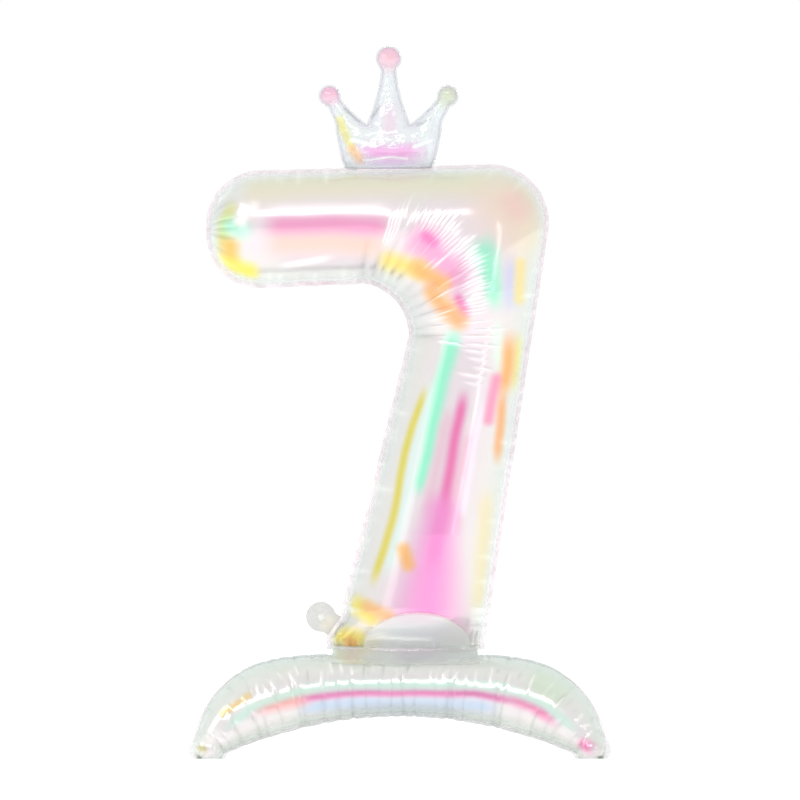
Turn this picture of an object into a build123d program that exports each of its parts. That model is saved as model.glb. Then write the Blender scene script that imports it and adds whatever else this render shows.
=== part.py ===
from build123d import *
from math import asin, atan2, cos, degrees, pi, radians, sin, tan
import os

# A self-standing foil balloon: a big numeral seven on a two-footed base, with a small crown on top.
#
# Frame, in millimetres: +Z is up, the numeral faces -Y, and +X is to the viewer's right. The origin
# is on the floor, under the middle of the base. The films' welds lie in the plane Y = 0, except those
# of the feet, whose planes lean outwards by FOOT_LEAN.
#
# Every chamber is two films welded together round the edge. The front film is lofted through ribs
# that cross the weld's outline, each rib a thin half ellipse with the flat weld lip at both ends, and
# the back film is its mirror image.

# ---------------------------------------------------------------- films and welds
FILM = 0.8              # drawn wall of a film
LIP_LAYER = 0.6         # drawn thickness of one film where two are welded flat
LIP = 4.0               # width of the weld lip round the numeral and the feet
CROWN_LIP = 2.0         # width of the finer weld lip round the crown
CORE = 1.0              # radius of the hollow where a chamber closes to a point

# ---------------------------------------------------------------- numeral
NECK_Z = 115.0          # height of the numeral's foot, where the feet hang from it
NUMBER_HEIGHT = 531.0   # from its foot to the top right corner
ARM_REACH = 209.0       # from the origin's X to the free end of the top arm
ARM_WIDTH = 122.0       # height of the top arm
ARM_DROOP = 10.0        # how much lower the arm is at its free end
STEM_WIDTH = 121.0      # level width of the stem where it leaves the arm
STEM_FOOT_WIDTH = 166.0  # level width of the stem at the neck
STEM_FOOT_RIGHT = 88.5  # X of the stem's right edge at the neck
RIGHT_LEAN = 0.1533     # sideways run of the stem's right edge for each unit of height
STEM_TAPER_LEAN = 2.0   # degrees from square to the right edge to square to the stem's middle line
CORNER_RADIUS = 60.0    # outer top right corner
BEND_RADIUS = 60.0      # inner bend between arm and stem
ARM_END_RADIUS = 56.0   # both corners of the arm's free end
FLARE_WIDTH = 15.0      # how far the stem steps out to carry the inflation tab
FLARE_LOW = 13.0        # height of the step's lower corner above the neck
FLARE_HIGH = 35.0       # height of the step's upper corner above the neck
ROUNDNESS = 0.93        # half depth of a tube over its half width
NUMBER_DEPTH = 68.0     # largest half depth of the numeral
NECK_DEPTH = 28.0       # half depth at the neck
NECK_RISE = 48.0        # height over which the neck swells to the full depth
NECK_SPARE = 12.0       # how far the outline runs on below the neck, past the last rib

# ---------------------------------------------------------------- crown
CROWN_X = -12.5         # X of the crown's middle
CROWN_LIFT = 1.6        # from the numeral's top right corner up to the crown's weld
CROWN_FOOT_WIDTH = 98.0  # width at its weld to the numeral
CROWN_BAND_WIDTH = 120.0  # width at the top of the band
CROWN_BAND_HEIGHT = 44.0  # height of the band
CROWN_DEPTH = 20.0      # half depth of the band at its fullest
CROWN_TOP_DEPTH = 13.0  # half depth at the top of the band
SEAM_DEPTH = 1.8        # half depth at the weld to the numeral
HORN_RADIUS = 6.5       # radius of a horn just under its ball
MIDDLE_HORN_ROOT = 20.0  # radius of the middle horn at its root
SIDE_HORN_ROOT = 14.0   # radius of a side horn at its root
MIDDLE_HORN_HEIGHT = 117.0  # from the crown's weld to the middle ball's centre
SIDE_HORN_HEIGHT = 76.0  # from the crown's weld to a side ball's centre
SIDE_HORN_REACH = 65.0  # from the crown's middle to a side ball's centre
HORN_ROOT_HEIGHT = 27.0  # from the crown's weld to the horns' roots, inside the band
MIDDLE_BALL_RADIUS = 12.5
SIDE_BALL_RADIUS = 10.5

# ---------------------------------------------------------------- feet
FOOT_LEAN = 36.0        # degrees between a foot's weld plane and upright
HINGE_Y = 12.0          # from the middle plane to each foot's fold line
HINGE_DROP = 6.0        # from the numeral's foot down to the fold lines
FOOT_HALF_LENGTH = 222.0  # from the middle to the outside of a tip
FOOT_TOP = 103.4        # height of the upper weld in the middle
ARCH_TOP = 47.6         # height of the lower weld in the middle
TIP_INNER = FOOT_HALF_LENGTH - 32.0  # X of a tip's inner edge
TIP_INNER_Z = 8.0       # height of a tip's inner edge
TIP_X = FOOT_HALF_LENGTH - 10.0  # X of a tip's lowest point
TIP_PRESSED = 3.0       # how far a tip is pressed flat by the floor
TIP_TURN = 50.0         # degrees that the ribs turn from the middle to a tip
TIP_LENGTH = 24.0       # from the last full rib to the end of a tip
TOP_TURN = 83.0         # degrees of the upper weld's curve, from the middle to a tip
SOLE_X = FOOT_HALF_LENGTH - 16.5  # X of the middle of the patch that a tip rests on
SOLE_INSET = 6.4        # from the weld plane's line on the floor in to that middle
SOLE_RADII = (16.3, 12.9)  # half sizes of that patch along X and Y
FOOT_ROUNDNESS = 0.84   # half depth of a foot over its half width
GUSSET_HALF_WIDTH = 10.7  # from the middle plane to the outside of a fold strip

# ---------------------------------------------------------------- inflation tab and valve
TAB_WIDTH = 25.0        # width at its root
TAB_RADIUS = 16.5       # radius of its round end
TAB_REACH = 15.0        # from the root to the centre of the round end
TAB_GAP = 1.5           # fold room between the lip and the tab
FILL_HOLE_RADIUS = 4.0  # hole for the straw or nozzle
VALVE_WIDTH = 16.0
VALVE_LENGTH = 26.0
VALVE_FILM = 0.4        # drawn thickness of a valve film
VALVE_ROOM = 0.6        # between the valve films, and from them to the numeral's films

# ---------------------------------------------------------------- ribs that the lofts run through
ARM_RIBS = 6
BEND_RIBS = 13
STEM_RIBS = 11
NECK_RIBS = 7
FOOT_RIBS = 16
TIP_RIBS = 6

LEFT, RIGHT = -1, 1
FRONT, BACK = -1, 1
FAR = 2000.0            # longer than the whole balloon, for cutting boxes

TOP_Z = NECK_Z + NUMBER_HEIGHT
HINGE_Z = NECK_Z - HINGE_DROP
CROWN_Z = TOP_Z + CROWN_LIFT


# ---------------------------------------------------------------- shared construction
def crossing(outline, start, along):
    """The first stretch inside an outline of a line from start, as its near and its far end."""
    found = Edge.make_line(start, start + along * FAR) & outline
    stretch = sorted(found.edges(), key=lambda edge: (edge.center() - start).length)[0]
    return sorted((stretch @ 0, stretch @ 1), key=lambda point: (point - start).length)


def film_rib(outline, lip_outline, line, depth_of):
    """The section of a front film along a line across its chamber, with the weld lip at both ends.

    A line is a (start, heading, closing): an (x, z) point, degrees above +X, and how nearly the
    section is solid, from 0 for a plain film to 1. depth_of gives the chamber's half depth from
    its half width and the height of the section's middle.
    """
    (start_x, start_z), heading, closing = line
    along = Vector(cos(radians(heading)), 0, sin(radians(heading)))
    start = Vector(start_x, 0, start_z)
    near, far = crossing(outline, start, along)
    near_lip, far_lip = crossing(lip_outline, start, along)
    middle = (near + far) / 2
    half_width = (far - near).length / 2
    half_depth = depth_of(half_width, middle.Z)
    wall = FILM + closing * (min(half_width, half_depth) - CORE - FILM)
    plane = Plane(origin=middle, x_dir=along, z_dir=along.cross(Vector(0, 1, 0)))
    rise = degrees(asin(LIP_LAYER / half_depth))
    bow = Edge.make_ellipse(half_width, half_depth, plane, start_angle=180 + rise, end_angle=360 - rise)
    hollow = Edge.make_ellipse(half_width - wall, half_depth - wall, plane, start_angle=180, end_angle=360)
    front = Vector(0, -LIP_LAYER, 0)
    near_corners = [hollow @ 0, near_lip, near_lip + front, bow @ 0]
    far_corners = [bow @ 1, far_lip + front, far_lip, hollow @ 1]
    near_lines = [Edge.make_line(*pair) for pair in zip(near_corners, near_corners[1:])]
    far_lines = [Edge.make_line(*pair) for pair in zip(far_corners, far_corners[1:])]
    return Face(Wire([*near_lines, bow, *far_lines, hollow]))


def front_film(outline, lines, depth_of):
    """The front film of a chamber whose weld follows outline, lofted through ribs across it."""
    lip_outline = offset(outline, LIP).face()
    return loft([film_rib(outline, lip_outline, line, depth_of) for line in lines])


def above(height):
    """Everything above a height."""
    return Pos(0, 0, height + FAR / 2) * Box(FAR, FAR, FAR)


def both_sides(shape):
    """A front piece and its mirrored back piece."""
    return shape, mirror(shape, Plane.XZ)


# ---------------------------------------------------------------- numeral
def number_corners():
    """The numeral's outline corners as (x, z), named by where they are."""
    bend_z = TOP_Z - ARM_WIDTH
    bend_x = STEM_FOOT_RIGHT + RIGHT_LEAN * (bend_z - NECK_Z) - STEM_WIDTH
    foot_left = STEM_FOOT_RIGHT - STEM_FOOT_WIDTH
    return {
        "arm_low": (-ARM_REACH, bend_z - ARM_DROOP),
        "arm_high": (-ARM_REACH, TOP_Z - ARM_DROOP),
        "corner": (STEM_FOOT_RIGHT + RIGHT_LEAN * NUMBER_HEIGHT, TOP_Z),
        "foot_right": (STEM_FOOT_RIGHT - RIGHT_LEAN * NECK_SPARE, NECK_Z - NECK_SPARE),
        "foot_left": (foot_left, NECK_Z - NECK_SPARE),
        "flare_low": (foot_left, NECK_Z + FLARE_LOW),
        "flare_high": (foot_left + FLARE_WIDTH, NECK_Z + FLARE_HIGH),
        "bend": (bend_x, bend_z),
    }


def number_outline():
    """The face inside the numeral's weld."""
    corners = number_corners()
    radii = {
        "arm_low": ARM_END_RADIUS,
        "arm_high": ARM_END_RADIUS,
        "corner": CORNER_RADIUS,
        "bend": BEND_RADIUS,
        "flare_high": FLARE_WIDTH,
    }
    face = Face(Wire.make_polygon([Vector(x, 0, z) for x, z in corners.values()], close=True))
    for name, radius in radii.items():
        x, z = corners[name]
        corner = face.vertices().sort_by_distance((x, 0, z))[0]
        face = face.fillet_2d(radius, [corner])
    return face


def heading_between(start, end):
    """The angle above +X, in degrees from 0 to 360, of the way from one (x, z) point to another."""
    return degrees(atan2(end[1] - start[1], end[0] - start[0])) % 360


def bend_centre():
    """Centre of the inner bend, as (x, z)."""
    corners = number_corners()
    to_arm = heading_between(corners["bend"], corners["arm_low"])
    to_foot = heading_between(corners["bend"], corners["flare_high"])
    half_angle = (to_foot - to_arm) / 2
    away = BEND_RADIUS / sin(radians(half_angle))
    middle = radians(to_arm + half_angle)
    return corners["bend"][0] + away * cos(middle), corners["bend"][1] + away * sin(middle)


def number_lines():
    """The lines that the numeral's ribs lie on, from the arm's free end to the neck."""
    centre_x, centre_z = bend_centre()
    lines = []
    for turn in (5, 12, 20, 30, 42, 55, 70):
        reach = ARM_END_RADIUS * (1 - cos(radians(turn))) - ARM_REACH
        lines.append(((reach, centre_z), 90, max(0, 1 - (turn - 5) / 25) ** 2))
    straight = centre_x + ARM_REACH - ARM_END_RADIUS
    for step in range(ARM_RIBS):
        lines.append(((ARM_END_RADIUS - ARM_REACH + straight * step / ARM_RIBS, centre_z), 90, 0))
    lean = degrees(atan2(RIGHT_LEAN, 1)) + STEM_TAPER_LEAN
    for step in range(BEND_RIBS + 1):
        lines.append(((centre_x, centre_z), 90 - (90 + lean) * step / BEND_RIBS, 0))
    bend_foot = centre_z + centre_x * tan(radians(lean))
    swell = NECK_Z + NECK_RISE
    for step in range(1, STEM_RIBS + 1):
        heading = -lean * (1 - step / STEM_RIBS)
        height = bend_foot + (swell - bend_foot) * step / STEM_RIBS
        lines.append(((-ARM_REACH, height - ARM_REACH * tan(radians(heading))), heading, 0))
    for step in range(1, NECK_RIBS + 1):
        lines.append(((-ARM_REACH, swell - NECK_RISE * step / NECK_RIBS), 0, 0))
    return lines


def number_depth(half_width, height):
    """Half depth of the numeral: round tubes that thin down to the neck."""
    full = min(ROUNDNESS * half_width, NUMBER_DEPTH)
    share = min((height - NECK_Z) / NECK_RISE, 1.0)
    return NECK_DEPTH + (full - NECK_DEPTH) * sin(pi / 2 * share) if share < 1 else full


def tab_place(away=0.0):
    """A plane on the weld, away from the tab's root, with x along the tab and z to the front."""
    corners = number_corners()
    high, low = corners["flare_high"], corners["flare_low"]
    outward = radians(heading_between(high, low) - 90)
    out = Vector(cos(outward), 0, sin(outward))
    middle = Vector((high[0] + low[0]) / 2, 0, (high[1] + low[1]) / 2)
    return Plane(origin=middle + out * (LIP + TAB_GAP + away), x_dir=out, z_dir=(0, -1, 0))


def number_films():
    """The numeral's front and back film."""
    return both_sides(front_film(number_outline(), number_lines(), number_depth))


# ---------------------------------------------------------------- crown
def crown_band(grow):
    """The band: it swells from its flat weld and widens upwards to a flattened top."""
    levels = []
    for rise, spread, depth in ((0, 0, SEAM_DEPTH), (0.35, 0.4, CROWN_DEPTH), (1, 1, CROWN_TOP_DEPTH)):
        half_width = (CROWN_FOOT_WIDTH + (CROWN_BAND_WIDTH - CROWN_FOOT_WIDTH) * spread) / 2
        height = CROWN_Z + CROWN_BAND_HEIGHT * rise + (grow if rise == 1 else 0)
        levels.append((Pos(CROWN_X, 0, height) * Ellipse(half_width + grow, depth + grow)).face())
    return loft(levels, ruled=True)


def crown_horn(root, tip, root_radius, ball_radius, grow):
    """One horn of the crown, waisted, with a ball on its end; root and tip are (x, z)."""
    start, end = Vector(root[0], 0, root[1]), Vector(tip[0], 0, tip[1])
    length = (end - start).length
    neck = HORN_RADIUS + grow
    waist = Vector(1.75 * HORN_RADIUS + grow, 0, 0.45 * length)
    side = Edge.make_spline(
        [Vector(root_radius + grow, 0, 0), waist, Vector(neck, 0, length)],
        tangents=[Vector(-1, 0, 0.9), Vector(0, 0, 1)],
    )
    corners = [Vector(neck, 0, length), Vector(0, 0, length), Vector(0, 0, 0), Vector(root_radius + grow, 0, 0)]
    profile = Face(Wire([side] + [Edge.make_line(*pair) for pair in zip(corners, corners[1:])]))
    place = Plane(origin=start, x_dir=(0, 1, 0), z_dir=end - start)
    return place * revolve(profile, Axis.Z) + Pos(*end) * Sphere(ball_radius + grow)


def crown_body(grow=0.0):
    """The crown's chamber, with every wall moved outwards by grow."""
    root_z = CROWN_Z + HORN_ROOT_HEIGHT
    middle_tip = (CROWN_X, CROWN_Z + MIDDLE_HORN_HEIGHT)
    body = crown_band(grow)
    body += crown_horn((CROWN_X, root_z), middle_tip, MIDDLE_HORN_ROOT, MIDDLE_BALL_RADIUS, grow)
    for side in (LEFT, RIGHT):
        root = (CROWN_X + side * (CROWN_BAND_WIDTH / 2 - SIDE_HORN_ROOT), root_z)
        tip = (CROWN_X + side * SIDE_HORN_REACH, CROWN_Z + SIDE_HORN_HEIGHT)
        body += crown_horn(root, tip, SIDE_HORN_ROOT, SIDE_BALL_RADIUS, grow)
    return body


def crown_films():
    """The crown's front and back film."""
    front = Pos(0, -FAR / 2, CROWN_Z + FAR / 2) * Box(FAR, FAR, FAR)
    lip = crown_body(CROWN_LIP) & Pos(0, -LIP_LAYER / 2, 0) * Box(FAR, LIP_LAYER, FAR)
    air = crown_body(-FILM) & above(CROWN_Z + FILM)
    return both_sides((crown_body() & front) + (lip & front) - air)


# ---------------------------------------------------------------- feet
def foot_point(x, height):
    """The point of the upright foot that comes to a height above the floor once the foot leans."""
    return Vector(x, 0, (height - HINGE_Z) / cos(radians(FOOT_LEAN)))


def foot_outline():
    """The face inside a foot's weld, upright, with its fold line at Z = 0."""
    top = []
    for share in (-1.0, -0.85, -0.7, -0.55, -0.4, -0.2, 0.0, 0.2, 0.4, 0.55, 0.7, 0.85, 1.0):
        reach = sin(radians(TOP_TURN * share))
        top.append(foot_point(FOOT_HALF_LENGTH * reach, FOOT_TOP * (1 - abs(reach) ** 4.5) ** 0.47))
    inner_ends = [foot_point(side * TIP_INNER, TIP_INNER_Z) for side in (RIGHT, LEFT)]
    tips = [foot_point(side * TIP_X, -TIP_PRESSED) for side in (RIGHT, LEFT)]
    edges = [
        Edge.make_spline(top),
        Edge.make_three_point_arc(top[-1], tips[0], inner_ends[0]),
        Edge.make_three_point_arc(inner_ends[0], foot_point(0, ARCH_TOP), inner_ends[1]),
        Edge.make_three_point_arc(inner_ends[1], tips[1], top[0]),
    ]
    return Face(Wire(edges))


def foot_lines():
    """The lines that a foot's ribs lie on, from the left tip to the right tip."""
    right = []
    for step in range(1, FOOT_RIBS + 1):
        share = step / FOOT_RIBS
        arch = foot_point(share * TIP_INNER, ARCH_TOP - (ARCH_TOP - TIP_INNER_Z) * share ** 2)
        right.append((arch, 90 - TIP_TURN * share ** 2, 0))
    end, heading, _ = right[-1]
    across = radians(heading - 90)
    for step in range(1, TIP_RIBS + 1):
        reach = TIP_LENGTH * sin(pi / 2 * step / TIP_RIBS)
        right.append((end + Vector(cos(across), 0, sin(across)) * reach, heading, (step / TIP_RIBS) ** 2))
    left = [(Vector(-p.X, 0, p.Z), 180 - heading, closing) for p, heading, closing in reversed(right)]
    lines = []
    for point, heading, closing in left + [(foot_point(0, ARCH_TOP), 90, 0)] + right:
        start_x = point.X - 3 * LIP * cos(radians(heading))
        start_z = point.Z - 3 * LIP * sin(radians(heading))
        lines.append(((start_x, start_z), heading, closing))
    return lines


def foot_depth(half_width, height):
    """Half depth of a foot."""
    return FOOT_ROUNDNESS * half_width


def leaning(shape):
    """Moves an upright foot to the front fold line and leans it outwards."""
    return Pos(0, -HINGE_Y, HINGE_Z) * Rot(-FOOT_LEAN, 0, 0) * shape


def foot_soles():
    """The two patches that the floor presses flat under a foot's tips."""
    sole_y = SOLE_INSET - HINGE_Y - HINGE_Z * tan(radians(FOOT_LEAN))
    soles = Sketch() + [Pos(side * SOLE_X, sole_y) * Ellipse(*SOLE_RADII) for side in (LEFT, RIGHT)]
    return extrude(soles, FILM)


def foot_films():
    """The front foot's outer film, with its soles, and its inner film, then the rear foot's."""
    outer, inner = [leaning(half) for half in both_sides(front_film(foot_outline(), foot_lines(), foot_depth))]
    outer = (outer & above(0)).solids().sort_by(SortBy.VOLUME)[-1] + foot_soles()
    inner = (inner & above(FILM)).solids().sort_by(SortBy.VOLUME)[-1]
    return outer, inner, mirror(outer, Plane.XZ), mirror(inner, Plane.XZ)


def base_gusset():
    """The sheet that closes the numeral's neck, with a fold strip along each foot under it."""
    middle_x = STEM_FOOT_RIGHT - STEM_FOOT_WIDTH / 2
    gusset = extrude(Pos(middle_x, 0, NECK_Z) * Ellipse(STEM_FOOT_WIDTH / 2, NECK_DEPTH), -FILM)
    for side in (FRONT, BACK):
        strip = Pos(middle_x, side * (GUSSET_HALF_WIDTH - FILM / 2), NECK_Z - HINGE_DROP / 2)
        gusset += strip * Box(STEM_FOOT_WIDTH - 4 * LIP, FILM, HINGE_DROP)
    return gusset


# ---------------------------------------------------------------- inflation tab and valve
def tab_films():
    """The tab's front film, which has the fill hole, and its back film."""
    neck = Pos(TAB_REACH / 2, 0) * Rectangle(TAB_REACH, TAB_WIDTH)
    lobe = Pos(TAB_REACH, 0) * Circle(TAB_RADIUS)
    flat = (neck + lobe) & Pos(FAR / 2, 0) * Rectangle(FAR, FAR)
    front = extrude(tab_place() * (flat - Pos(TAB_REACH, 0) * Circle(FILL_HOLE_RADIUS)), LIP_LAYER)
    return front, extrude(tab_place() * flat, -LIP_LAYER)


def valve_films():
    """The self-sealing valve: two flat films inside the numeral, from its edge inwards."""
    edge = TAB_GAP + LIP + FILM + VALVE_ROOM
    strip = tab_place(-edge - VALVE_LENGTH / 2) * Rectangle(VALVE_LENGTH, VALVE_WIDTH)
    return both_sides(Pos(0, -VALVE_ROOM / 2, 0) * extrude(strip, VALVE_FILM))


# ---------------------------------------------------------------- assembly
def build():
    """Every sub-part, by node name."""
    names = (
        "number_front_film", "number_back_film",
        "crown_front_film", "crown_back_film",
        "front_foot_outer_film", "front_foot_inner_film",
        "rear_foot_outer_film", "rear_foot_inner_film",
        "base_gusset",
        "inflation_tab_front_film", "inflation_tab_back_film",
        "valve_front_film", "valve_back_film",
    )
    shapes = (
        *number_films(), *crown_films(), *foot_films(), base_gusset(), *tab_films(), *valve_films(),
    )
    return dict(zip(names, shapes))


def main():
    os.makedirs("parts", exist_ok=True)
    for node, shape in build().items():
        export_step(shape, f"parts/{node}.step")


main()
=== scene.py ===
"""A self-standing foil balloon: an iridescent seven on a two-footed base, with a small clear crown.

Lengths are in millimetres in the dataclasses and in metres in the meshes. +Z is up, the numeral
faces -Y, and the origin is on the floor under the middle of the base.
"""

import logging
import math
import random
from collections.abc import Callable, Sequence
from dataclasses import dataclass, field
from enum import Enum

import bmesh
import bpy
import numpy as np
from mathutils import Matrix, Vector, noise


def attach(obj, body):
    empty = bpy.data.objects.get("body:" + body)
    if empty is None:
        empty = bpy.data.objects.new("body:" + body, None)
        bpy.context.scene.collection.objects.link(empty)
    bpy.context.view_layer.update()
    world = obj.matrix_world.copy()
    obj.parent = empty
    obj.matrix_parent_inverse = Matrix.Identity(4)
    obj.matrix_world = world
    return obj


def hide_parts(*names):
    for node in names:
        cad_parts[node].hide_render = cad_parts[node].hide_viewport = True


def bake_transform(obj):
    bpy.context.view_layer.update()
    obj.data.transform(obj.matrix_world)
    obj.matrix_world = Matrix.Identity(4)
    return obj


log = logging.getLogger("balloon")
MM = 0.001
WELD = 2e-5
LONG_STREAK, STREAK_FADE = 45.0, 30.0
Point = tuple[float, float]
Corner = tuple[float, float, float]
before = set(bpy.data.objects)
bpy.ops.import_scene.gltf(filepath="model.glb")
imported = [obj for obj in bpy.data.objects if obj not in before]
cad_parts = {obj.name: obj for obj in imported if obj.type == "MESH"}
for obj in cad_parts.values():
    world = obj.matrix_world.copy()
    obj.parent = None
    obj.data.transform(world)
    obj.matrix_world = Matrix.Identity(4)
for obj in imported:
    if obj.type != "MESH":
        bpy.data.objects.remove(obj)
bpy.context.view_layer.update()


class Side(Enum):
    """Which film of a chamber: the one that faces the viewer, or the one behind it."""

    FRONT = -1
    BACK = 1

    @property
    def word(self) -> str:
        """The side's name in the names of pieces."""
        return self.name.lower()


class Runs(Enum):
    """Which way a crease runs: across its tube, or along it."""

    ACROSS = 0
    ALONG = 1


class Slot(Enum):
    """The material slots that the record names."""

    IRIDESCENT = "iridescent_film"
    CLEAR = "clear_film"
    SEAL = "seal_film"


# ---------------------------------------------------------------- small helpers
def smooth(low: float, high: float, value: np.ndarray) -> np.ndarray:
    """Rises smoothly from 0 at low to 1 at high."""
    share = np.clip((value - low) / (high - low), 0, 1)
    return share * share * (3 - 2 * share)


def rgb(code: str) -> np.ndarray:
    """A hex colour as three numbers from 0 to 1."""
    return np.array([int(code[i : i + 2], 16) / 255 for i in (0, 2, 4)])


def linear(colour: np.ndarray) -> np.ndarray:
    """Display colours as scene-linear ones."""
    return np.where(colour <= 0.04045, colour / 12.92, ((colour + 0.055) / 1.055) ** 2.4)


# ---------------------------------------------------------------- colour
@dataclass(frozen=True)
class Streak:
    """A soft-edged streak of colour along a path of (x, z) points.

    Args:
        colour: hex colour.
        strength: how far it covers what is under it.
        widths: half width at the start and at the end of the path.
        path: the points, in mm.
        crisp: true if its edge is a clear line.
    """

    colour: str
    strength: float
    widths: tuple[float, float]
    path: tuple[Point, ...]
    crisp: bool = False

    def cover(self, places: np.ndarray) -> np.ndarray:
        """How far the streak covers each (x, z) place, from 0 to strength.

        Args:
            places: an (n, 2) array in mm.

        Returns:
            One number for each place.
        """
        count = max(len(self.path) - 1, 1)
        best, station = np.full(len(places), 1e9), np.zeros(len(places))
        for index, (start, end) in enumerate(zip(self.path, self.path[1:])):
            first, way = np.array(start, float), np.array(end, float) - np.array(start, float)
            share = np.clip((places - first) @ way / max(way @ way, 1e-9), 0, 1)
            distance = np.linalg.norm(places - first - share[:, None] * way, axis=1)
            width = self.widths[0] + (self.widths[1] - self.widths[0]) * (index + share) / count
            station = np.where(distance / width < best, (index + share) / count, station)
            best = np.minimum(best, distance / width)
        cover = 1 - (smooth(0.93, 1.03, best) if self.crisp else smooth(0.0, 2.0, best))
        length = math.dist(self.path[0], self.path[-1])
        if length > LONG_STREAK:
            fade = min(STREAK_FADE / length, 0.35)
            cover = cover * smooth(0, fade, station) * smooth(0, fade, 1 - station)
        return self.strength * cover


@dataclass(frozen=True)
class Paint:
    """The colours of a film: a pearly ground, streaks over it that are painted iridescent reflections and painted
    highlights, and painted edge shading along the welds.
    """

    ground: str
    # edge colour and its strength: the painted edge shading along the weld
    edge: str
    streaks: tuple[Streak, ...]
    edge_shading_strength: float = 0.7
    vividness: float = 1.0

    def apply(self, mesh: bpy.types.Mesh) -> None:
        """Writes the colours of a mesh into its colour attribute, with the painted reflections, highlights and
        shade.
        """
        count = len(mesh.vertices)
        places = np.empty(count * 3, np.float32)
        mesh.vertices.foreach_get("co", places)
        places = places.reshape(-1, 3)[:, (0, 2)].astype(float) / MM
        sway = np.sin(places[:, ::-1] / 27 + 1) + 0.4 * np.sin(places[:, ::-1] / 9.3 + places / 31)
        colour = np.tile(rgb(self.ground), (count, 1))
        # lays each streak over the ground: painted iridescent reflections and painted highlights
        for streak in self.streaks:
            cover = streak.cover(places if streak.crisp else places + 0.7 * sway)[:, None]
            colour = colour * (1 - cover) + rgb(streak.colour) * cover
        middle = colour.mean(axis=1, keepdims=True)
        colour = np.clip(middle + (colour - middle) * self.vividness, 0, 1)
        rim, relief = np.zeros(count, np.float32), np.zeros(count, np.float32)
        for name, values in (("rim", rim), ("relief", relief)):
            if name in mesh.attributes:
                mesh.attributes[name].data.foreach_get("value", values)
        # painted edge shading: the edge colour laid over the ground near the weld
        cover = (self.edge_shading_strength * rim)[:, None]
        colour = colour * (1 - cover) + rgb(self.edge) * cover
        # painted highlight on the crease ridges and painted shade in the crease valleys, from the relief
        light = np.clip(relief[:, None] / 0.7, 0, 1) * 0.9
        colour = (colour * (1 - light) + light) * (1 - 0.1 * np.clip(-relief[:, None] / 2, 0, 1))
        layer = mesh.color_attributes.new("film_colour_and_painted_light", "FLOAT_COLOR", "POINT")
        full = np.ones((count, 4), np.float32)
        full[:, :3] = linear(colour)
        layer.data.foreach_set("color", full.ravel())


# Painted light on the numeral: iridescent bands of painted reflection, white painted highlights and thin pink
# painted reflection lines.
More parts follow.
